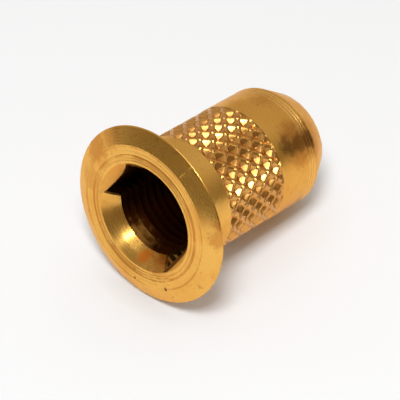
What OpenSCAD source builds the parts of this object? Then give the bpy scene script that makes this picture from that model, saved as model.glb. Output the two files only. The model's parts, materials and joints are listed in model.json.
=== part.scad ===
// Brass press-in insert: a turned flanged bush with a diamond-knurled band
// and two slots across its countersunk, threaded mouth.
// It stands on its nose, axis along Z, flange and mouth upwards. Millimetres.

/* [Overall] */
// Length from the nose face to the front face
total_len = 17; // [14:0.5:30]
// Diameter of the shank, the size of the hole that it presses into
shank_d = 10; // [9.6:0.1:11]

/* [Flange] */
// Diameter of the rim, the widest circle
flange_d = 14.7; // [13.4:0.1:20]
// Diameter of the flat ring on the front face
ring_d = 12.1; // [10.4:0.1:13]
// Height of the bevel from the rim up to the front ring
bevel_h = 0.7; // [0.3:0.05:1.2]
// Height of the narrow straight land at the rim
rim_land = 0.15; // [0.1:0.05:0.6]

/* [Shank] */
// Length of the plain neck between the flange seat and the knurl
neck_len = 3.6; // [2:0.1:4.5]
// Length of the knurled band
knurl_len = 6.3; // [3:0.1:7]
// Length of the lead-in chamfer on the nose
lead_len = 2.1; // [0.5:0.1:3]
// Slope of the lead-in chamfer, in degrees from the axis
lead_angle = 30; // [15:1:35]

/* [Knurl] */
// Number of diamond pits round the shank
knurl_count = 21; // [16:1:30]
// Slope of the ridges between the pits, in degrees from the axis
knurl_angle = 45.5; // [30:0.5:50]
// Turn of the knurl about the axis, in degrees from the slots
knurl_turn = 5; // [-8:0.5:8]
// Shift of the knurl along the axis, from the middle of its band
knurl_shift = 0.14; // [-0.3:0.02:0.3]
// Depth of the pits below the ridges
knurl_depth = 0.34; // [0.2:0.02:0.44]
// How far the ridges' tops lie below the shank's surface
knurl_relief = 0.03; // [0.02:0.01:0.08]
// Share of each diamond that its ridges' flat tops take up
knurl_ridge = 0.2; // [0.1:0.02:0.5]

/* [Mouth and bore] */
// Diameter of the countersink at the front face
mouth_d = 9.1; // [8.4:0.1:9.8]
// Depth of the countersink
countersink_depth = 1.35; // [0.6:0.05:2]
// Diameter of the bore, the thread's minor diameter
bore_d = 7.2; // [6.4:0.1:7.6]
// Depth of the bore's straight wall, from the front face
bore_depth = 11.5; // [7:0.5:11.5]
// Included angle of the drilled bottom, in degrees
drill_angle = 118; // [90:2:140]
// Width of the two slots
slot_w = 4.2; // [2:0.1:4.4]
// Length from end to end of the two slots
slot_len = 7.7; // [7.7:0.1:8]
// Depth of the slots, from the front face
slot_depth = 4.2; // [2:0.1:4.4]

/* [Hidden] */
$fn = 96;

// Radii
shank_r = shank_d / 2;
rim_r = flange_d / 2;
ring_r = ring_d / 2;
bore_r = bore_d / 2;
mouth_r = mouth_d / 2;
nose_r = shank_r - lead_len * tan(lead_angle);
crest_r = shank_r - knurl_relief;
pit_r = crest_r - knurl_depth;
core_r = (pit_r + bore_r) / 2;

// Heights, from the nose face up
rim_z = total_len - bevel_h;
seat_z = rim_z - rim_land;
knurl_top = seat_z - neck_len;
knurl_base = knurl_top - knurl_len;
bore_floor = total_len - bore_depth;
drill_len = bore_r / tan(drill_angle / 2);
over = 0.5;

// The knurl's grid: half steps round the shank and along it
half_turn = 180 / knurl_count;
half_rise = PI * shank_r / knurl_count / tan(knurl_angle);
knurl_rows = floor(knurl_len / half_rise) + 3;
steps = 2 * knurl_count;
row_base = (knurl_top + knurl_base - knurl_rows * half_rise) / 2 + knurl_shift;

// A point at step k and row j of the grid, either of which may be a fraction
function grid_point(k, j, r) =
    [r * cos(k * half_turn), r * sin(k * half_turn), row_base + j * half_rise];

// Pits sit on every other grid point: the step of pit i in row j
function pit_step(i, j) = 2 * i + (j + 1) % 2;

// Place of a grid point in the list, and of a pit's own five points
function at(k, j) = j * steps + (k + steps) % steps;
function pit_at(i, j, spot) =
    len(grid_points) + 5 * ((j - 1) * knurl_count + i) + spot;

grid_points = [for (j = [0 : knurl_rows], k = [0 : steps - 1]) grid_point(k, j, crest_r)];

// The four corners of a diamond, as directions in the grid
corner_ways = [[1, 0], [0, 1], [-1, 0], [0, -1]];

// Each pit has the four corners of its mouth, between the ridges, and its bottom
pit_points = [
    for (j = [1 : knurl_rows - 1], i = [0 : knurl_count - 1])
        let (k = pit_step(i, j), open = 1 - knurl_ridge)
        each concat(
            [for (way = corner_ways) grid_point(k + open * way[0], j + open * way[1], crest_r)],
            [grid_point(k, j, pit_r)]
        )
];

end_points = [[0, 0, row_base], [0, 0, row_base + knurl_rows * half_rise]];
end_at = len(grid_points) + len(pit_points);

// One diamond: the flat tops of its ridges, two triangles a side, and the pit's four walls
function diamond_faces(i, j) =
    let (
        k = pit_step(i, j),
        ridge = [for (way = corner_ways) at(k + way[0], j + way[1])],
        mouth = [for (spot = [0 : 3]) pit_at(i, j, spot)],
        bottom = pit_at(i, j, 4)
    )
    concat(
        [for (side = [0 : 3]) [ridge[side], mouth[side], ridge[(side + 1) % 4]]],
        [for (side = [0 : 3]) [ridge[(side + 1) % 4], mouth[side], mouth[(side + 1) % 4]]],
        [for (side = [0 : 3]) [mouth[side], bottom, mouth[(side + 1) % 4]]]
    );

// The flat half diamonds along an end row, whose next row lies at j + up
function end_row_faces(j, up) = [
    for (k = [0 : steps - 1])
        if ((k + j) % 2 == 1)
            for (side = [-1, 1])
                side * up > 0
                    ? [at(k, j), at(k, j + up), at(k + side, j)]
                    : [at(k, j), at(k + side, j), at(k, j + up)]
];

// The end discs, which lie inside the neck and the nose
function end_disc_faces(j, centre, turn) = [
    for (k = [0 : steps - 1])
        turn > 0 ? [centre, at(k, j), at(k + 1, j)] : [centre, at(k + 1, j), at(k, j)]
];

// A plug with the knurl on its side
module knurl_plug() {
    rotate(knurl_turn) polyhedron(
        points = concat(grid_points, pit_points, end_points),
        faces = concat(
            [for (j = [1 : knurl_rows - 1], i = [0 : knurl_count - 1]) each diamond_faces(i, j)],
            end_row_faces(0, 1),
            end_row_faces(knurl_rows, -1),
            end_disc_faces(0, end_at, 1),
            end_disc_faces(knurl_rows, end_at + 1, -1)
        )
    );
}

// The turned blank: nose, a waist that the knurl stands on, neck and flange
module turned_blank() {
    rotate_extrude()
        polygon([
            [0, 0],
            [nose_r, 0],
            [shank_r, lead_len],
            [shank_r, knurl_base],
            [core_r, knurl_base],
            [core_r, knurl_top],
            [shank_r, knurl_top],
            [shank_r, seat_z],
            [rim_r, seat_z],
            [rim_r, rim_z],
            [ring_r, total_len],
            [0, total_len]
        ]);
}

// The countersunk mouth, the bore and its drilled bottom
module bore_cut() {
    rotate_extrude()
        polygon([
            [0, bore_floor - drill_len],
            [bore_r, bore_floor],
            [bore_r, total_len - countersink_depth],
            [mouth_r, total_len],
            [mouth_r, total_len + over],
            [0, total_len + over]
        ]);
}

// The pair of opposed slots, milled in one pass across the mouth
module slot_cut() {
    translate([-slot_len / 2, -slot_w / 2, total_len - slot_depth])
        cube([slot_len, slot_w, slot_depth + over]);
}

module insert_body() {
    color("goldenrod")
        difference() {
            union() {
                turned_blank();
                knurl_plug();
            }
            bore_cut();
            slot_cut();
        }
}

insert_body();
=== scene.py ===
import json
import math

import bmesh
import bpy
from mathutils import Matrix, Vector


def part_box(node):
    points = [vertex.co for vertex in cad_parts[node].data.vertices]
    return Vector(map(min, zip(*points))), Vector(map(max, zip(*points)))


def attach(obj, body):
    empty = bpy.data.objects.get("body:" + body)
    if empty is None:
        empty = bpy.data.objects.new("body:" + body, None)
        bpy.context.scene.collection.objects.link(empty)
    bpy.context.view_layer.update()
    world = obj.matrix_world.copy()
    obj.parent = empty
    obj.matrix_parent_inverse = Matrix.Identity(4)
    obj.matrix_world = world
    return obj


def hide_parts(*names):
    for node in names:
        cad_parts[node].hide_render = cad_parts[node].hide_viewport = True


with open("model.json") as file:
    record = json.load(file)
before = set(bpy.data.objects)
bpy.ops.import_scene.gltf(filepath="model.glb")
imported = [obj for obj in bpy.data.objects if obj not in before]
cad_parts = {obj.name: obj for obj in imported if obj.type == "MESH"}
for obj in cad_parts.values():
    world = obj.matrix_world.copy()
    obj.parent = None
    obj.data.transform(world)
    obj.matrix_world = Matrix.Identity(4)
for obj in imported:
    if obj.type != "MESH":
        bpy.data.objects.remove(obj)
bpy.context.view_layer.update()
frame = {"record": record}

# Sizes in millimetres, taken from the frame where it holds them
MM = 0.001
NODE = "insert_body"
lowest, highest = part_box(NODE)
mounts = {mount["name"]: mount for mount in frame["record"]["mounts"]}
shank = mounts["press_shank"]
bore = mounts["thread_bore"]
total_len = (highest.z - lowest.z) / MM
rim_r = highest.x / MM
shank_r = shank["dims"]["r_mm"]
seat_z = mounts["flange_seat"]["pos_m"][2] / MM
lead_len = seat_z - shank["dims"]["length_mm"]
bore_r = bore["dims"]["r_mm"]
bore_floor = bore["pos_m"][2] / MM - bore["dims"]["length_mm"] / 2

# Flange and nose
rim_land = 0.15
rim_z = seat_z + rim_land
ring_r = 6.05
lead_angle = math.radians(30)
nose_r = shank_r - lead_len * math.tan(lead_angle)

# Countersink, with a slight bend halfway down, and the bore's drilled bottom
mouth_r = 4.55
countersink_depth = 1.35
countersink_base = total_len - countersink_depth
bend_r = 4.08
bend_depth = 0.61
drill_half_angle = math.radians(59)

# Slots across the mouth, and how far their cutter stands above it
slot_w = 4.2
slot_len = 7.7
slot_depth = 4.2
slot_floor = total_len - slot_depth
slot_over = 1

# Fine thread in the bore: its pitch, the shape of its groove, and how it starts and fades
thread_pitch = 0.75
thread_depth = 0.4
thread_flank = 1.35
thread_crest = 0.17
thread_gap = 0.1
thread_run_out = 0.2

# Diamond knurl
neck_len = 3.6
knurl_len = 6.3
knurl_top = seat_z - neck_len
knurl_base = knurl_top - knurl_len
knurl_count = 21
knurl_angle = math.radians(45.5)
knurl_turn = math.radians(5)
knurl_shift = 0.14
knurl_relief = 0.03
knurl_depth = 0.36
knurl_ridge = 0.12
knurl_run_out = 0.25
knurl_edge = 0.05
spare_rows = 3
half_rise = math.pi * shank_r / knurl_count / math.tan(knurl_angle)
knurl_rows = math.floor(knurl_len / half_rise) + spare_rows
row_base = (knurl_top + knurl_base - knurl_rows * half_rise) / 2 + knurl_shift
core_r = (shank_r + bore_r) / 2

# A pit's uneven bottom and its rounds, as shares of its depth
pit_unevenness = 0.22
ridge_round = 0.2
bottom_round = 0.1

# Small peaks where the ridges cross: height, and share of a diamond
peak_height = 0.17
peak_share = 0.5

# Rounds on the corners of the turned outline
ROUNDS = {
    "nose": 0.2,
    "lead": 0.35,
    "seat": 0.10,
    "rim back": 0.04,
    "rim front": 0.09,
    "ring": 0.25,
    "mouth": 0.05,
    "bend": 0.05,
    "bore": 0.04,
}

# The turning tool's grooves on the front ring: radius, half width and depth
RING_GROOVES = [(5.62, 0.10, 0.030), (5.28, 0.07, 0.035), (5.02, 0.06, 0.030), (4.80, 0.05, 0.025)]

# Its grooves round the nose: height, half width and depth
NOSE_GROOVES = [(2.42, 0.06, 0.020), (2.68, 0.05, 0.018), (3.02, 0.05, 0.012)]

# How finely the turned faces are divided, and the gap to the rows beside the knurl's edges
SPLITS = 8
COLUMNS = 2 * knurl_count * SPLITS
THREAD_ROWS = 6
ROUND_STEPS = 4
EDGE_ROW_GAP = 0.04

# Distances at which points merge and slivers go, and the bend past which an edge stays crisp
SEAM_WELD = 0.0005
POINT_WELD = 0.0004
SLIVER = 0.0002
CRISP_EDGE = math.radians(28)

# Colours of the brass, of what lies on it, and of painted glints, reflections and shade
BRIGHT_BRASS = (0.88, 0.475, 0.105, 1)
BROWNED_BRASS = (0.78, 0.36, 0.062, 1)
# Lighter brass for the painted glint along the nose's grooves
GLINT_BRASS = (1, 0.62, 0.22, 1)
# Lighter brass for the painted reflection on the countersink beyond the slots
SHEEN_BRASS = (1, 0.56, 0.13, 1)
# Dark brass for blotches and for painted shade in the knurl's pits
DARK_BRASS = (0.42, 0.17, 0.035, 1)
RUST_BROWN = (0.55, 0.20, 0.035, 1)
# Orange for the painted reflection in the countersink
BURNT_ORANGE = (1.0, 0.30, 0.03, 1)
# Dark brown for specks and for painted shade on the nose
DARK_BROWN = (0.10, 0.04, 0.015, 1)
# Brown and near black for painted shade in the bore, its slots and between the thread's teeth
BORE_SHADE_BROWN = (0.095, 0.016, 0.002, 1)
DEEP_SHADE_BLACK = (0.006, 0.002, 0.001, 1)

# Layers of colour over the bright brass, from the bottom up: mask, share and colour
COLOUR_LAYERS = [
    ("browned", 1.0, BROWNED_BRASS),
    # Painted glint along the nose's grooves
    ("polish", 0.9, GLINT_BRASS),
    ("blotches", 0.45, DARK_BRASS),
    # Brown stains and dirt lines, with painted shade on the nose, the flange's edge and the
    # countersink
    ("rust", 1.0, RUST_BROWN),
    # Painted orange reflection in the countersink
    ("orange stains", 1.0, BURNT_ORANGE),
    # Dark specks, and painted shade on the nose
    ("smoke", 1.0, DARK_BROWN),
    # Painted reflection on the countersink beyond the slots
    ("slot ends", 0.8, SHEEN_BRASS),
    ("knurl", 0.45, RUST_BROWN),
    # Painted shade toward the bottoms of the knurl's pits
    ("valleys", 0.6, DARK_BRASS),
    # Painted shade in the bore, deeper on one side, and between the thread's teeth
    ("oil", 1.0, BORE_SHADE_BROWN),
    ("caked oil", 0.85, DEEP_SHADE_BLACK),
    ("teeth", 0.9, DEEP_SHADE_BLACK),
]

# Roughness of the bare brass, and what each mask adds to it
PLAIN_ROUGHNESS = 0.22
ADDED_ROUGHNESS = {
    "tool lines": 0.10,
    "tarnish": 0.06,
    "valleys": 0.1,
    "bore": 0.35,
    "slot ends": 0.3,
    "scratch": 0.22,
    "orange stains": 0.25,
}

# The shader's even values, the relief of the tool's lines and the oil film on the knurl
BRASS_SHADER = {
    "Metallic": 1.0,
    "Specular Tint": (0.96, 0.81, 0.60, 1),
    "Anisotropic": 0.5,
    "Anisotropic Rotation": 0.25,
    "Coat Roughness": 0.2,
}
TOOL_RELIEF = {"Strength": 0.12, "Distance": 0.02 * MM}
OIL_FILM = 0.4

# Noises, per millimetre
TOOL_LINES = {"Scale": 9.0, "Detail": 4.0}
CLOUDS = {"Scale": 0.42, "Detail": 5.0, "Roughness": 0.6}
BLOTCHES = {"Scale": 1.7, "Detail": 3.0, "Roughness": 0.55}
NOISE_MIDDLE = 0.5

# Levels of noise between which a finish fades in
TARNISH_LEVELS = (0.42, 0.72)
BLOTCH_LEVELS = (0.63, 0.74)
RING_DIRT_LEVELS = (0.3, 0.55)
SCRATCH_LEVELS = (0.44, 0.52)

# Shares of the browns: tarnish, the nose, the tarnish added on it, and brown stains with painted
# shade
tarnish_share = 0.6
nose_share = 0.45
nose_tarnish_share = 0.4
brown_mark_share = 0.75

# Margins of the knurl's dirt, the nose and the front ring
valley_lip = 0.10
nose_fade_below = 0.3
nose_fade_above = 0.1
ring_skin = 0.08

# The countersink beyond the ends of the slots, lightened as a painted reflection, with painted shade
# at one end
cone_lip = 0.05
cone_fade = 0.02
slot_end_gap = 0.02
slot_side_gap = 0.2
shaded_end_x = -4.16
shaded_end_share = 0.85

# Painted shade in the bore: depths below the countersink where it sets in, and places across where
# it deepens
BORE_SHADE_DEPTHS = (0.12, 0.35)
DEEP_SHADE_PLACES = (1.2, 2.8)
bore_shade_share = 0.97

# The lit sides of one slot, where the painted shade is lighter, and painted shade between the
# thread's teeth
lit_side_skin = 0.03
lit_side_x = -0.8 * bore_r
lit_side_height = 1.5
lit_side_share = 0.82
teeth_shift = 0.2
TEETH_LEVELS = (0.3, 0.45)

# A short scratch across the bevel
scratch_x = -0.1
scratch_half_width = 0.05
scratch_end_y = -6.15

# Dirt lines round the front ring: radius, half width and strength
RING_DIRT = [(5.93, 0.05, 0.6), (5.18, 0.07, 0.8), (4.85, 0.05, 0.5)]

# Stains, painted shade and painted light: centre, radius and strength
STAINS_AND_PAINTED_LIGHT = {
    "brown stains": [
        # Brown blotches on the bevel and the front ring
        ((6.6, -0.5, 16.7), 1.9, 0.9),
        ((6.2, -2.5, 16.6), 1.5, 0.7),
        ((5.2, 1.7, 17.0), 1.5, 0.6),
        # Painted shade along the nose's dark reflection band
        ((-2.3, -4.4, 3.7), 2.1, 1.0),
        ((-1.1, -4.9, 4.0), 1.6, 0.9),
        ((-1.9, -4.5, 1.9), 2.0, 1.0),
        # Painted shade on the flange's edge beside the neck
        ((-4.7, -5.7, 16.15), 0.9, 1.0),
        ((-5.3, -4.7, 16.4), 1.2, 0.8),
        # A faint brown stain on the nose
        ((2.5, -4.3, 3.6), 1.1, 0.5),
        # Painted shade on the countersink beside a slot's corner
        ((-3.3, 2.4, 16.3), 1.7, 1.0),
    ],
    # Painted orange reflection in the countersink
    "orange stains": [((-1.9, 3.65, 16.35), 0.8, 0.85)],
    # Painted light on the bore's wall below the countersink's highlight
    "rubbed spots": [((-0.3, 3.55, 15.5), 1.7, 0.5)],
    # Painted shade along the nose's dark reflection band
    "smoked band": [
        ((-1.85, -4.65, 4.9), 1.1, 0.5),
        ((-2.05, -4.55, 3.7), 1.2, 0.5),
        ((-2.15, -4.50, 2.6), 1.0, 0.5),
    ],
    "dark specks": [
        ((-5.0, 3.18, 17.0), 0.17, 0.9),
        ((-2.53, 5.26, 17.0), 0.14, 0.8),
        ((2.3, -4.45, 4.4), 0.13, 0.6),
    ],
}

# A patch's full core, as a share of its radius, and how ragged its edge is
PATCH_CORE = 0.35
PATCH_RAGGED = 1.6

# Camera, in millimetres, with the part's axis upright
CAMERA_AIM = Vector((-0.64, 1.50, 10.07))
CAMERA_DISTANCE = 196.1
CAMERA_AZIMUTH = math.radians(-102.4)
CAMERA_ELEVATION = math.radians(40.1)
CAMERA_ROLL = math.radians(-120.3)
CAMERA_LENS = 225
CAMERA_CLIP = 10

# Room and lamps, in metres, with directions seen from the camera: right, up, towards it
CEILING_WAY = Vector((0.0, 0.914, -0.406)).normalized()
CEILING_SPREAD = 0.75
CEILING_LIGHT = (0.55, 0.53, 0.50, 1)
ROOM_LIGHT = (0.21, 0.185, 0.14, 1)
LAMP_DISTANCE = 0.35
LAMP_ALONG = Vector((-0.643, 0.729, -0.236))
LAMP_COLOURS = {"metal": (0.92, 0.98, 1.0), "table": (1, 1, 1)}
LAMPS = {
    "window": {
        "lights": "metal",
        "way": Vector((0.203, 0.556, 0.808)),
        "length": 0.34,
        "width": 0.08,
        "power": 0.48,
    },
    "key": {
        "lights": "metal",
        "way": Vector((0.116, 0.346, 0.930)),
        "length": 0.022,
        "width": 0.022,
        "power": 0.22,
    },
    "pane": {
        "lights": "metal",
        "way": Vector((0.319, 0.424, 0.831)),
        "length": 0.05,
        "width": 0.03,
        "power": 0.28,
    },
    "overhead": {
        "lights": "table",
        "way": Vector((-0.07, 0.35, 0.935)),
        "length": 0.10,
        "width": 0.10,
        "power": 0.94,
    },
}

# Table, in metres: the way it faces, its colours and glow, its shade near the insert and farther out
TABLE_WAY = Vector((0.0, 0.71, 0.704)).normalized()
TABLE_HALF = 2.0
TABLE_COLOUR = (0.74, 0.755, 0.785, 1)
TABLE_SHADE = (0.80, 0.66, 0.52, 1)
TABLE_GLOW = 0.20
MIRRORED_SHARE = 0.95
SHADE_NEAR = 0.002
SHADE_WIDE = 0.005
SHADE_WIDE_SHARE = 0.5
SHADE_SAMPLES = 8
WHITE = (1, 1, 1, 1)

# Places of the sockets that a Mix node uses for colours
MIX_FACTOR = 0
MIX_FIRST = 6
MIX_SECOND = 7
MIX_RESULT = 2


class Value:
    """A node's output that takes part in Python expressions, which add Math nodes."""

    def __init__(self, graph, socket):
        self.graph = graph
        self.socket = socket

    def math(self, operation, *others):
        inputs = dict(enumerate((self, *others)))
        return self.graph.value("ShaderNodeMath", {"operation": operation}, inputs)

    def reflected(self, operation, first):
        return self.graph.value("ShaderNodeMath", {"operation": operation}, {0: first, 1: self})

    def __add__(self, other):
        return self.math("ADD", other)

    def __radd__(self, other):
        return self.reflected("ADD", other)

    def __sub__(self, other):
        return self.math("SUBTRACT", other)

    def __rsub__(self, other):
        return self.reflected("SUBTRACT", other)

    def __mul__(self, other):
        return self.math("MULTIPLY", other)

    def __rmul__(self, other):
        return self.reflected("MULTIPLY", other)

    def __truediv__(self, other):
        return self.math("DIVIDE", other)

    def __rtruediv__(self, other):
        return self.reflected("DIVIDE", other)

    def __abs__(self):
        return self.math("ABSOLUTE")

    def __gt__(self, other):
        return self.math("GREATER_THAN", other)

    def __lt__(self, other):
        return self.math("LESS_THAN", other)

    def clamped(self):
        """Kept between 0 and 1."""
        return self.math("MINIMUM", 1).math("MAXIMUM", 0)

    def ramp(self, low, high):
        """Rises smoothly from 0 at low to 1 at high."""
        return self.graph.value(
            "ShaderNodeMapRange",
            {"interpolation_type": "SMOOTHSTEP"},
            {"Value": self, "From Min": low, "From Max": high},
        )

    def band(self, low, high, soft):
        """1 between low and high, falling to 0 over soft on both sides."""
        return self.ramp(low - soft, low) * (1 - self.ramp(high, high + soft))


class Graph:
    """One node tree, whose nodes all come from add()."""

    def __init__(self, tree):
        self.tree = tree
        tree.nodes.clear()

    def add(self, kind, settings=None, inputs=None):
        """A new node, with its settings made first and its sockets set or linked."""
        node = self.tree.nodes.new(kind)
        for name, setting in (settings or {}).items():
            setattr(node, name, setting)
        for name, value in (inputs or {}).items():
            source = value.socket if isinstance(value, Value) else value
            if isinstance(source, bpy.types.NodeSocket):
                self.tree.links.new(source, node.inputs[name])
            else:
                node.inputs[name].default_value = source
        return node

    def value(self, kind, settings=None, inputs=None, output=0):
        """One output of a new node."""
        return Value(self, self.add(kind, settings, inputs).outputs[output])

    def vector(self, *parts):
        """A vector from its three parts."""
        return self.value("ShaderNodeCombineXYZ", {}, dict(enumerate(parts)))

    def mix(self, factor, first, second):
        """Mixes two colours."""
        inputs = {MIX_FACTOR: factor, MIX_FIRST: first, MIX_SECOND: second}
        return self.value("ShaderNodeMix", {"data_type": "RGBA"}, inputs, MIX_RESULT)

    def scaled(self, vector, factor):
        """A vector or colour times a number."""
        return self.value(
            "ShaderNodeVectorMath", {"operation": "SCALE"}, {0: vector, "Scale": factor}
        )


def rounded(before, corner, after, radius):
    """Points of a small round at a corner between two straight stretches."""
    start = (before - corner).normalized()
    end = (after - corner).normalized()
    half = start.angle(end) / 2
    reach = radius / math.tan(half)
    centre = corner + (start + end).normalized() * (radius / math.sin(half))
    first = corner + start * reach - centre
    turn = -first.angle_signed(corner + end * reach - centre)
    points = []
    for step in range(ROUND_STEPS + 1):
        spin = Matrix.Rotation(turn * step / ROUND_STEPS, 2)
        points.append(centre + spin @ first)
    return points


def ring_grooves():
    """Corners of the tool grooves across the front ring, from the outside in."""
    points = []
    for radius, half_width, depth in RING_GROOVES:
        points.append((radius + half_width, total_len))
        points.append((radius, total_len - depth))
        points.append((radius - half_width, total_len))
    return points


def nose_grooves():
    """Corners of the tool grooves round the nose, from the bottom up."""
    points = []
    for height, half_width, depth in NOSE_GROOVES:
        points.append((shank_r, height - half_width))
        points.append((shank_r - depth, height))
        points.append((shank_r, height + half_width))
    return points


def knurl_heights():
    """Heights of the rows across the knurled band, on the knurl's own grid."""
    step = half_rise / SPLITS
    first = math.ceil((knurl_base + EDGE_ROW_GAP - row_base) / step)
    last = math.floor((knurl_top - EDGE_ROW_GAP - row_base) / step)
    inner = [row_base + step * row for row in range(first, last + 1)]
    return [knurl_base - EDGE_ROW_GAP, knurl_base, *inner, knurl_top, knurl_top + EDGE_ROW_GAP]


def thread_heights():
    """Heights of the rows down the threaded wall, below the countersink."""
    step = thread_pitch / THREAD_ROWS
    top = countersink_base - thread_gap
    count = int((top - bore_floor) / step)
    return [top - step * row for row in range(count)]


def half_section():
    """The turned outline from the nose's centre, over the outside, to the bottom of the bore."""
    drill_tip = bore_floor - bore_r / math.tan(drill_half_angle)
    corners = [
        ((0, 0), 0),
        ((nose_r, 0), ROUNDS["nose"]),
        ((shank_r, lead_len), ROUNDS["lead"]),
        *[(point, 0) for point in nose_grooves()],
        *[((shank_r, height), 0) for height in knurl_heights()],
        ((shank_r, seat_z), ROUNDS["seat"]),
        ((rim_r, seat_z), ROUNDS["rim back"]),
        ((rim_r, rim_z), ROUNDS["rim front"]),
        ((ring_r, total_len), ROUNDS["ring"]),
        *[(point, 0) for point in ring_grooves()],
        ((mouth_r, total_len), ROUNDS["mouth"]),
        ((bend_r, total_len - bend_depth), ROUNDS["bend"]),
        ((bore_r, countersink_base), ROUNDS["bore"]),
        *[((bore_r, height), 0) for height in thread_heights()],
        ((bore_r, bore_floor), 0),
        ((0, drill_tip), 0),
    ]
    places = [Vector(place) for place, _ in corners]
    outline = []
    for index, (_, radius) in enumerate(corners):
        if radius:
            outline += rounded(places[index - 1], places[index], places[index + 1], radius)
        else:
            outline.append(places[index])
    return outline


# Named inputs of the tree that turns the insert: type and value
TURNED_INPUTS = {
    "Columns": ("NodeSocketInt", COLUMNS),
    "Knurl Count": ("NodeSocketFloat", knurl_count),
    "Knurl Turn": ("NodeSocketFloat", knurl_turn),
    "Knurl Half Rise": ("NodeSocketFloat", half_rise),
    "Knurl Row Base": ("NodeSocketFloat", row_base),
    "Knurl Base": ("NodeSocketFloat", knurl_base),
    "Knurl Top": ("NodeSocketFloat", knurl_top),
    "Knurl Run Out": ("NodeSocketFloat", knurl_run_out),
    "Knurl Edge": ("NodeSocketFloat", knurl_edge),
    "Knurl Relief": ("NodeSocketFloat", knurl_relief),
    "Knurl Depth": ("NodeSocketFloat", knurl_depth),
    "Knurl Ridge": ("NodeSocketFloat", knurl_ridge),
    "Pit Unevenness": ("NodeSocketFloat", pit_unevenness),
    "Ridge Round": ("NodeSocketFloat", ridge_round),
    "Bottom Round": ("NodeSocketFloat", bottom_round),
    "Core Radius": ("NodeSocketFloat", core_r),
    "Thread Pitch": ("NodeSocketFloat", thread_pitch),
    "Thread Depth": ("NodeSocketFloat", thread_depth),
    "Thread Flank": ("NodeSocketFloat", thread_flank),
    "Thread Crest": ("NodeSocketFloat", thread_crest),
    "Thread Run Out": ("NodeSocketFloat", thread_run_out),
    "Thread Base": ("NodeSocketFloat", bore_floor),
    "Thread Top": ("NodeSocketFloat", countersink_base),
    "Slot Width": ("NodeSocketFloat", slot_w),
    "Slot Length": ("NodeSocketFloat", slot_len),
    "Slot Floor": ("NodeSocketFloat", slot_floor),
    "Slot Top": ("NodeSocketFloat", total_len + slot_over),
    "Finish": ("NodeSocketMaterial", None),
}


def knurl_cells(angle, height, count, base, rise):
    """Two numbers that grow by 1 from ridge to ridge, one for each way that the ridges run."""
    across = angle * count / math.pi
    along = (height - base) / rise
    return [(across + along) / 2, (across - along) / 2]


def ridge_distances(cells):
    """How far a place lies from the nearest ridge of each way: 0 on it, 1 halfway to the next."""
    return [1 - abs(cell.math("FRACT") * 2 - 1) for cell in cells]


def pit_depth(graph, angle, height, sizes):
    """How deep the knurl is at a place on the shank: 0 on the ridges, 1 at a pit's bottom."""
    count = sizes["Knurl Count"]
    cells = knurl_cells(angle, height, count, sizes["Knurl Row Base"], sizes["Knurl Half Rise"])
    distances = ridge_distances(cells)
    inward = distances[0].math("MINIMUM", distances[1])
    floors = [cell.math("FLOOR") for cell in cells]
    way_round = (floors[0] + floors[1]).math("FLOORED_MODULO", count * 2)
    cell_number = graph.vector(way_round, floors[0] - floors[1])
    uneven = graph.value(
        "ShaderNodeTexWhiteNoise", {"noise_dimensions": "2D"}, {"Vector": cell_number}
    )
    bottom = 1 - uneven * sizes["Pit Unevenness"]
    pit = (inward - sizes["Knurl Ridge"]) / (1 - sizes["Knurl Ridge"])
    pit = pit.math("SMOOTH_MAX", 0, sizes["Ridge Round"])
    return pit.math("SMOOTH_MIN", bottom, sizes["Bottom Round"])


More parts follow.
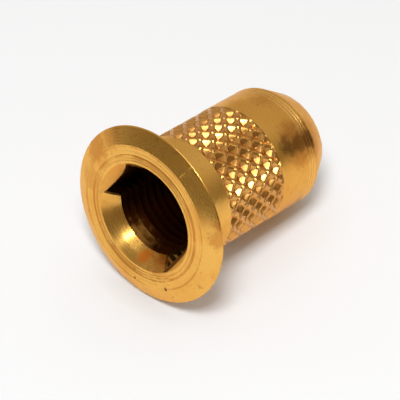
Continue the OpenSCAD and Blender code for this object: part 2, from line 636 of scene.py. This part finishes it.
def turned_tree():
    """Turns the half section about Z, rolls the knurl, cuts the thread and mills the slots."""
    tree = bpy.data.node_groups.new("turned_knurled_insert", "GeometryNodeTree")
    graph = Graph(tree)
    tree.interface.new_socket("Geometry", in_out="INPUT", socket_type="NodeSocketGeometry")
    for name, (kind, _) in TURNED_INPUTS.items():
        tree.interface.new_socket(name, in_out="INPUT", socket_type=kind)
    tree.interface.new_socket("Geometry", in_out="OUTPUT", socket_type="NodeSocketGeometry")
    given = graph.add("NodeGroupInput")
    sizes = {name: Value(graph, given.outputs[name]) for name in TURNED_INPUTS}
    section = given.outputs["Geometry"]

    # A grid with a row for each point of the section and a column for each step round
    rows = graph.value(
        "GeometryNodeAttributeDomainSize", {"component": "MESH"}, {"Geometry": section}
    )
    grid = graph.add(
        "GeometryNodeMeshGrid", {}, {"Vertices X": sizes["Columns"] + 1, "Vertices Y": rows}
    )
    index = graph.value("GeometryNodeInputIndex")
    column = (index / rows).math("FLOOR")
    row = index - column * rows
    place = graph.value("GeometryNodeInputPosition")
    sampled = graph.value(
        "GeometryNodeSampleIndex",
        {"data_type": "FLOAT_VECTOR"},
        {"Geometry": section, "Value": place, "Index": row},
    )
    split = graph.add("ShaderNodeSeparateXYZ", {}, {0: sampled})
    radius = Value(graph, split.outputs["X"])
    height = Value(graph, split.outputs["Z"])
    angle = column / sizes["Columns"] * math.tau
    turn_angle = angle + sizes["Knurl Turn"]

    # The knurl pushes the shank's wall in, and runs out at both ends of its band
    outside = radius > sizes["Core Radius"]
    from_edge = (height - sizes["Knurl Base"]).math("MINIMUM", sizes["Knurl Top"] - height)
    in_band = outside * (from_edge / sizes["Knurl Run Out"]).clamped()
    past_edge = outside * (from_edge / sizes["Knurl Edge"]).clamped()
    pit = pit_depth(graph, angle, height, sizes)
    knurl = past_edge * sizes["Knurl Relief"] + in_band * pit * sizes["Knurl Depth"]

    # The thread's groove widens the bore along a right-hand helix
    phase = (height / sizes["Thread Pitch"] - turn_angle / math.tau).math("FRACT")
    flank = (1 - abs(phase * 2 - 1)) * sizes["Thread Flank"]
    groove = (flank - sizes["Thread Crest"]).clamped()
    from_end = (height - sizes["Thread Base"]).math("MINIMUM", sizes["Thread Top"] - height)
    cut_in = (from_end / sizes["Thread Run Out"]).clamped()
    thread = (1 - outside) * cut_in * groove * sizes["Thread Depth"]

    reach = radius - knurl + thread
    turned_place = graph.vector(
        reach * turn_angle.math("COSINE"), reach * turn_angle.math("SINE"), height
    )
    turned = graph.add(
        "GeometryNodeSetPosition", {}, {"Geometry": grid.outputs["Mesh"], "Position": turned_place}
    )
    closed = graph.add(
        "GeometryNodeMergeByDistance", {}, {"Geometry": turned.outputs[0], "Distance": SEAM_WELD}
    )

    # One bar-shaped cutter mills both slots
    cutter_height = sizes["Slot Top"] - sizes["Slot Floor"]
    cutter_size = graph.vector(sizes["Slot Length"], sizes["Slot Width"], cutter_height)
    cutter = graph.add("GeometryNodeMeshCube", {}, {"Size": cutter_size})
    cutter_place = graph.vector(0, 0, (sizes["Slot Top"] + sizes["Slot Floor"]) / 2)
    raised = graph.add(
        "GeometryNodeTransform",
        {},
        {"Geometry": cutter.outputs["Mesh"], "Translation": cutter_place},
    )
    milled = graph.add(
        "GeometryNodeMeshBoolean",
        {"operation": "DIFFERENCE", "solver": "EXACT"},
        {"Mesh 1": closed.outputs[0], "Mesh 2": raised.outputs[0]},
    )
    triangles = graph.add(
        "GeometryNodeTriangulate", {"quad_method": "SHORTEST_DIAGONAL"}, {0: milled.outputs[0]}
    )
    realised = graph.add("GeometryNodeRealizeInstances", {}, {"Geometry": triangles.outputs[0]})
    finished = graph.add(
        "GeometryNodeSetMaterial",
        {},
        {"Geometry": realised.outputs[0], "Material": sizes["Finish"]},
    )
    graph.add("NodeGroupOutput", {}, {"Geometry": finished.outputs[0]})
    return tree


def mark_crisp_edges(mesh):
    """Merges doubles, turns every face outwards and keeps strongly bent edges crisp."""
    shape = bmesh.new()
    shape.from_mesh(mesh)
    bmesh.ops.remove_doubles(shape, verts=shape.verts, dist=POINT_WELD)
    bmesh.ops.dissolve_degenerate(shape, edges=shape.edges, dist=SLIVER)
    bmesh.ops.recalc_face_normals(shape, faces=shape.faces)
    for face in shape.faces:
        face.smooth = True
    for edge in shape.edges:
        edge.smooth = edge.calc_face_angle(math.pi) < CRISP_EDGE
    shape.to_mesh(mesh)
    shape.free()


def turned_insert(material):
    """The insert as one closed mesh, in metres."""
    section = bpy.data.meshes.new("half_section")
    points = [(point.x, 0, point.y) for point in half_section()]
    edges = [(number, number + 1) for number in range(len(points) - 1)]
    section.from_pydata(points, edges, [])
    maker = bpy.data.objects.new("half_section", section)
    bpy.context.scene.collection.objects.link(maker)
    tree = turned_tree()
    modifier = maker.modifiers.new("turn", "NODES")
    modifier.node_group = tree
    inputs = [item for item in tree.interface.items_tree if item.in_out == "INPUT"]
    sockets = {item.name: item.identifier for item in inputs}
    for name, (_, size) in TURNED_INPUTS.items():
        modifier[sockets[name]] = material if name == "Finish" else size
    evaluated = maker.evaluated_get(bpy.context.evaluated_depsgraph_get())
    mesh = bpy.data.meshes.new_from_object(evaluated)
    bpy.data.objects.remove(maker)
    mark_crisp_edges(mesh)
    mesh.transform(Matrix.Scale(MM, 4))
    mesh.name = "brass_insert"
    insert = bpy.data.objects.new("brass_insert", mesh)
    bpy.context.scene.collection.objects.link(insert)
    return insert


def patch_mask(graph, place, wobble, stains):
    """Where the listed patches lie on the brass, with uneven edges: stains, painted shade and
    painted light.
    """
    mask = 0.0
    for centre, size, strength in stains:
        away = graph.value(
            "ShaderNodeVectorMath", {"operation": "DISTANCE"}, {0: place, 1: centre}, "Value"
        )
        reach = away / size + (wobble - NOISE_MIDDLE) * PATCH_RAGGED
        stain = (1 - reach.ramp(PATCH_CORE, 1.0)) * strength
        mask = stain.math("MAXIMUM", mask)
    return mask


def ridge_peaks(x, y, z):
    """Small peaks where the knurl's ridges cross, 1 at the top."""
    angle = y.math("ARCTAN2", x) - knurl_turn
    distances = ridge_distances(knurl_cells(angle, z, knurl_count, row_base, half_rise))
    outward = distances[0].math("MAXIMUM", distances[1])
    return (1 - outward / peak_share).math("MAXIMUM", 0)


def brass_masks(graph, place, x, y, z):
    """Where each finish lies on the brass, from 0 to 1."""
    radius = (x * x + y * y).math("SQRT")

    # Cloudy tarnish, blotches, and the listed patches: stains, painted shade and painted light
    cloud = graph.value("ShaderNodeTexNoise", {}, {"Vector": place, **CLOUDS})
    blotch = graph.value("ShaderNodeTexNoise", {}, {"Vector": place, **BLOTCHES})
    masks = {name: patch_mask(graph, place, blotch, stains) for name, stains in STAINS_AND_PAINTED_LIGHT.items()}
    masks["tarnish"] = cloud.ramp(*TARNISH_LEVELS)
    masks["blotches"] = blotch.ramp(*BLOTCH_LEVELS)
    # Dark specks, and painted shade along the nose's dark reflection band
    masks["smoke"] = masks["smoked band"].math("MAXIMUM", masks["dark specks"])

    # Fine lines left by the turning tool, the same all round the axis
    masks["tool lines"] = graph.value(
        "ShaderNodeTexNoise",
        {"noise_dimensions": "2D"},
        {"Vector": graph.vector(radius, z), **TOOL_LINES},
    )

    # The knurled band, and painted shade toward the bottoms of its pits
    masks["knurl"] = z.band(knurl_base, knurl_top, knurl_edge) * (radius > core_r)
    raised = radius.ramp(shank_r - knurl_depth, shank_r - valley_lip)
    masks["valleys"] = masks["knurl"] * (1 - raised)

    # The nose is the brownest, and its grooves are lightened all round as a painted glint
    on_nose = 1 - z.ramp(knurl_base - nose_fade_below, knurl_base + nose_fade_above)
    brown_nose = on_nose * (nose_share + masks["tarnish"] * nose_tarnish_share)
    masks["browned"] = (masks["tarnish"] * tarnish_share).math("MAXIMUM", brown_nose)
    masks["polish"] = sum(
        z.band(height - half_width / 2, height + half_width / 2, half_width / 2)
        for height, half_width, _ in NOSE_GROOVES
    )

    # Dirt left along the tool's lines on the front ring, and the brown stains with their painted
    # shade
    ring_lines = sum(
        radius.band(line_r - half_width, line_r + half_width, half_width) * strength
        for line_r, half_width, strength in RING_DIRT
    )
    ring_dirt = ring_lines * (z > total_len - ring_skin) * cloud.ramp(*RING_DIRT_LEVELS)
    masks["rust"] = (masks["brown stains"] * brown_mark_share).math("MAXIMUM", ring_dirt)

    # The countersink beyond the ends of the slots is lightened: a painted reflection
    in_mouth = radius < mouth_r
    on_cone = z.band(countersink_base, total_len - cone_lip, cone_fade) * in_mouth
    past_end = abs(x) > slot_len / 2 + slot_end_gap
    masks["slot ends"] = on_cone * past_end * (abs(y) < slot_w / 2 + slot_side_gap)

    # Painted shade inside the bore and the slots, deepest on one side
    cone_slope = countersink_depth / (mouth_r - bore_r)
    cone_height = total_len - (mouth_r - radius) * cone_slope
    below_cone = (cone_height - z).ramp(*BORE_SHADE_DEPTHS)
    masks["bore"] = below_cone * in_mouth * (z > bore_floor - bore_r)
    masks["caked oil"] = masks["bore"] * x.ramp(*DEEP_SHADE_PLACES)

    # Painted shade, lighter on one slot's lit sides and the lit patch, darker at that slot's end and
    # between the teeth
    at_side = abs(y) > slot_w / 2 - lit_side_skin
    lit_sides = at_side * (x < lit_side_x) * z.ramp(slot_floor, slot_floor + lit_side_height)
    bore_shade_left = masks["bore"] * (bore_shade_share - lit_sides * lit_side_share - masks["rubbed spots"])
    shaded_end = masks["slot ends"] * (x < -slot_len / 2) * (x > shaded_end_x)
    masks["oil"] = bore_shade_left.math("MAXIMUM", shaded_end * shaded_end_share)
    gaps = (z / thread_pitch + teeth_shift).math("FRACT").ramp(*TEETH_LEVELS)
    masks["teeth"] = gaps * lit_sides * masks["bore"]

    # A short scratch across the bevel
    on_scratch = (abs(x - scratch_x) < scratch_half_width) * (y < scratch_end_y) * (z > rim_z)
    masks["scratch"] = on_scratch * blotch.ramp(*SCRATCH_LEVELS)
    return masks


def turned_brass():
    """Bare turned brass: tool lines round the axis, a brown tarnish and dirt, with painted shade,
    glints, reflections and light.
    """
    material = bpy.data.materials.new("turned_brass")
    material.use_nodes = True
    graph = Graph(material.node_tree)
    place = graph.scaled(graph.value("ShaderNodeTexCoord", {}, {}, "Object"), 1 / MM)
    split = graph.add("ShaderNodeSeparateXYZ", {}, {0: place})
    x, y, z = (Value(graph, socket) for socket in split.outputs)
    masks = brass_masks(graph, place, x, y, z)

    colour = BRIGHT_BRASS
    for name, share, tint in COLOUR_LAYERS:
        colour = graph.mix(masks[name] * share, colour, tint)
    added = (masks[name] * amount for name, amount in ADDED_ROUGHNESS.items())
    roughness = sum(added, PLAIN_ROUGHNESS)

    tool_relief = graph.value(
        "ShaderNodeBump", {}, {"Height": masks["tool lines"], **TOOL_RELIEF}
    )
    relief = graph.value(
        "ShaderNodeBump",
        {},
        {
            "Strength": 1.0,
            "Distance": peak_height * MM,
            "Height": ridge_peaks(x, y, z) * masks["knurl"],
            "Normal": tool_relief,
        },
    )
    surface = graph.add(
        "ShaderNodeBsdfPrincipled",
        {},
        {
            "Base Color": colour,
            "Roughness": roughness,
            "Normal": relief,
            "Coat Weight": masks["knurl"] * OIL_FILM,
            **BRASS_SHADER,
        },
    )
    graph.add("ShaderNodeOutputMaterial", {}, {"Surface": surface.outputs[0]})
    return material


def main_camera():
    """The photograph's view: a long lens, rolled so that the flange lies low and left."""
    level = math.cos(CAMERA_ELEVATION)
    back = Vector((
        level * math.cos(CAMERA_AZIMUTH),
        level * math.sin(CAMERA_AZIMUTH),
        math.sin(CAMERA_ELEVATION),
    ))
    level_right = Vector((0, 0, 1)).cross(back).normalized()
    level_up = back.cross(level_right)
    up = level_up * math.cos(CAMERA_ROLL) - level_right * math.sin(CAMERA_ROLL)
    right = up.cross(back)
    axes = Matrix((right, up, back)).transposed()
    lens = bpy.data.cameras.new("camera")
    lens.lens = CAMERA_LENS
    lens.clip_start = CAMERA_CLIP * MM
    camera = bpy.data.objects.new("camera", lens)
    place = (CAMERA_AIM + back * CAMERA_DISTANCE) * MM
    camera.matrix_world = Matrix.Translation(place) @ axes.to_4x4()
    bpy.context.scene.collection.objects.link(camera)
    bpy.context.scene.camera = camera
    return axes


def room_light(axes):
    """A dim room in front and a soft ceiling behind, which the camera sees as white."""
    world = bpy.data.worlds.new("studio")
    bpy.context.scene.world = world
    world.use_nodes = True
    graph = Graph(world.node_tree)
    way = graph.value("ShaderNodeTexCoord", {}, {}, "Generated")
    to_ceiling = graph.value(
        "ShaderNodeVectorMath",
        {"operation": "DOT_PRODUCT"},
        {0: way, 1: axes @ CEILING_WAY},
        "Value",
    )
    light = graph.mix(to_ceiling.ramp(0.0, CEILING_SPREAD), ROOM_LIGHT, CEILING_LIGHT)
    path = graph.add("ShaderNodeLightPath")
    light = graph.mix(path.outputs["Is Camera Ray"], light, WHITE)
    background = graph.add("ShaderNodeBackground", {}, {"Color": light, "Strength": 1.0})
    graph.add("ShaderNodeOutputWorld", {}, {"Surface": background.outputs[0]})


def studio_lamps(axes):
    """Three lamps that show in the metal, and one that lights the table and casts the shadow."""
    middle = Vector((0, 0, total_len / 2 * MM))
    for name, values in LAMPS.items():
        lamp = bpy.data.lights.new(name, "AREA")
        lamp.shape = "RECTANGLE"
        lamp.size = values["length"]
        lamp.size_y = values["width"]
        lamp.energy = values["power"]
        lamp.color = LAMP_COLOURS[values["lights"]]
        holder = bpy.data.objects.new(name, lamp)
        way = axes @ values["way"].normalized()
        across = way.cross(axes @ LAMP_ALONG).normalized()
        facing = Matrix((across.cross(way), across, way)).transposed()
        place = middle + way * LAMP_DISTANCE
        holder.matrix_world = Matrix.Translation(place) @ facing.to_4x4()
        holder.visible_camera = False
        holder.visible_glossy = values["lights"] == "metal"
        holder.visible_diffuse = values["lights"] == "table"
        bpy.context.scene.collection.objects.link(holder)


def table_white():
    """White paint that keeps the shadow, shows in the metal and is clear from below."""
    material = bpy.data.materials.new("pale_table")
    material.use_nodes = True
    graph = Graph(material.node_tree)
    matt = graph.add("ShaderNodeBsdfDiffuse", {}, {"Color": TABLE_COLOUR})
    path = graph.add("ShaderNodeLightPath")
    seen = Value(graph, path.outputs["Is Camera Ray"])
    mirrored = Value(graph, path.outputs["Is Glossy Ray"])
    near, wide = (
        graph.value(
            "ShaderNodeAmbientOcclusion", {"samples": SHADE_SAMPLES}, {"Distance": reach}, "AO"
        )
        for reach in (SHADE_NEAR, SHADE_WIDE)
    )
    # The glow dims near the insert: a painted contact shadow
    open_sky = near * (1 - SHADE_WIDE_SHARE + wide * SHADE_WIDE_SHARE)
    shade = graph.mix(open_sky, TABLE_SHADE, WHITE)
    strength = (seen * open_sky + mirrored * MIRRORED_SHARE) * TABLE_GLOW
    glow_colour = graph.scaled(shade, strength)
    glow = graph.add("ShaderNodeEmission", {}, {"Color": glow_colour, "Strength": 1.0})
    white = graph.add("ShaderNodeAddShader", {}, {0: matt.outputs[0], 1: glow.outputs[0]})
    from_below = graph.value("ShaderNodeNewGeometry", {}, {}, "Backfacing")
    clear = graph.add("ShaderNodeBsdfTransparent")
    one_sided = graph.add(
        "ShaderNodeMixShader", {}, {0: from_below, 1: white.outputs[0], 2: clear.outputs[0]}
    )
    graph.add("ShaderNodeOutputMaterial", {}, {"Surface": one_sided.outputs[0]})
    return material


def pale_table(axes):
    """The table, as low as the lower of two points: the rim's lowest and the nose's lowest."""
    way = axes @ TABLE_WAY
    sideways = Vector((way.x, way.y)).length
    rim_drop = rim_r * sideways - seat_z * way.z
    nose_drop = shank_r * sideways - lead_len * way.z
    drop = max(rim_drop, nose_drop) * MM
    mesh = bpy.data.meshes.new("table")
    signs = [(-1, -1), (1, -1), (1, 1), (-1, 1)]
    corners = [(TABLE_HALF * right, TABLE_HALF * up, 0) for right, up in signs]
    mesh.from_pydata(corners, [], [(0, 1, 2, 3)])
    mesh.materials.append(table_white())
    table = bpy.data.objects.new("table", mesh)
    table.location = way * -drop
    table.rotation_euler = way.to_track_quat("Z", "Y").to_euler()
    bpy.context.scene.collection.objects.link(table)


bpy.context.scene.view_settings.view_transform = "Standard"
camera_axes = main_camera()
room_light(camera_axes)
studio_lamps(camera_axes)
pale_table(camera_axes)
insert = turned_insert(turned_brass())
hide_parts(NODE)
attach(insert, "root")
